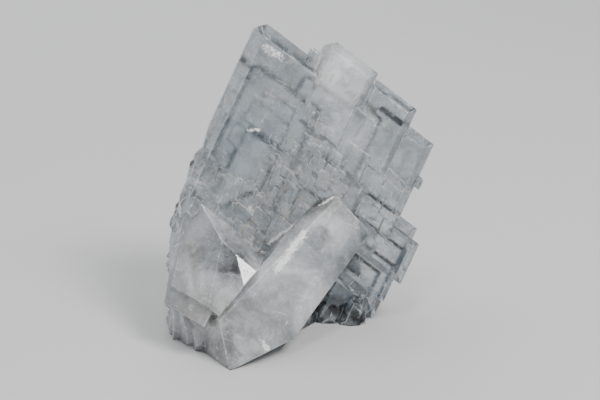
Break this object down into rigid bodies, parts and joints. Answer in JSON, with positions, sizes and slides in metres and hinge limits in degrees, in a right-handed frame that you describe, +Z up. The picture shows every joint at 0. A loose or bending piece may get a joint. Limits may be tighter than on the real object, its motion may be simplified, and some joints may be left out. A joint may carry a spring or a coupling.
{
  "type": "barite crystal group",
  "caption": "Group of clear, bluish-white tabular barite crystals with stepped faces, grown together and standing on their flat-cut root.",
  "frame": {"origin": "centre of the group's footprint, on the flat base it stands on", "axes": "+Z up, the broad faces of the large plates look towards -Y and +X is to their right"},
  "size_m": [0.0558, 0.0462, 0.0619],
  "materials": {
    "barite": "clear to milky crystal with glassy faces, faintly bluish, with a little cream stain on the growth steps"
  },
  "bodies": {
    "root": {"barite_crystals": "barite"}
  },
  "joints": []
}
